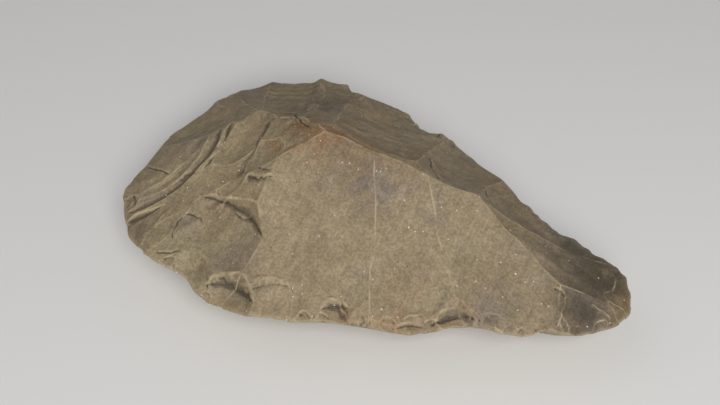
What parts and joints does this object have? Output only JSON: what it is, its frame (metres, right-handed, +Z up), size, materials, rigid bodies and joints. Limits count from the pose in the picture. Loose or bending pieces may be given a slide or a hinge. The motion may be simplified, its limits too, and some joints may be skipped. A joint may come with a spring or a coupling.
{
  "type": "stone hand axe",
  "caption": "Pear-shaped flaked stone hand axe with a sharp wavy rim, a ridged upper face and a plainer lower face that it lies on.",
  "frame": {"origin": "under the middle of the axe's bounding box, in the plane of the small flat that it rests on", "axes": "+X along the length towards the tip, +Z up through the thickness, away from the rest face, so +Y points to the far side of the rim"},
  "size_m": [0.1507, 0.0961, 0.0432],
  "materials": {
    "weathered_flint": "weathered brown flint, dull, with rust-coloured patches and lighter worn ridges"
  },
  "bodies": {
    "root": {"hand_axe": "weathered_flint"}
  },
  "joints": []
}
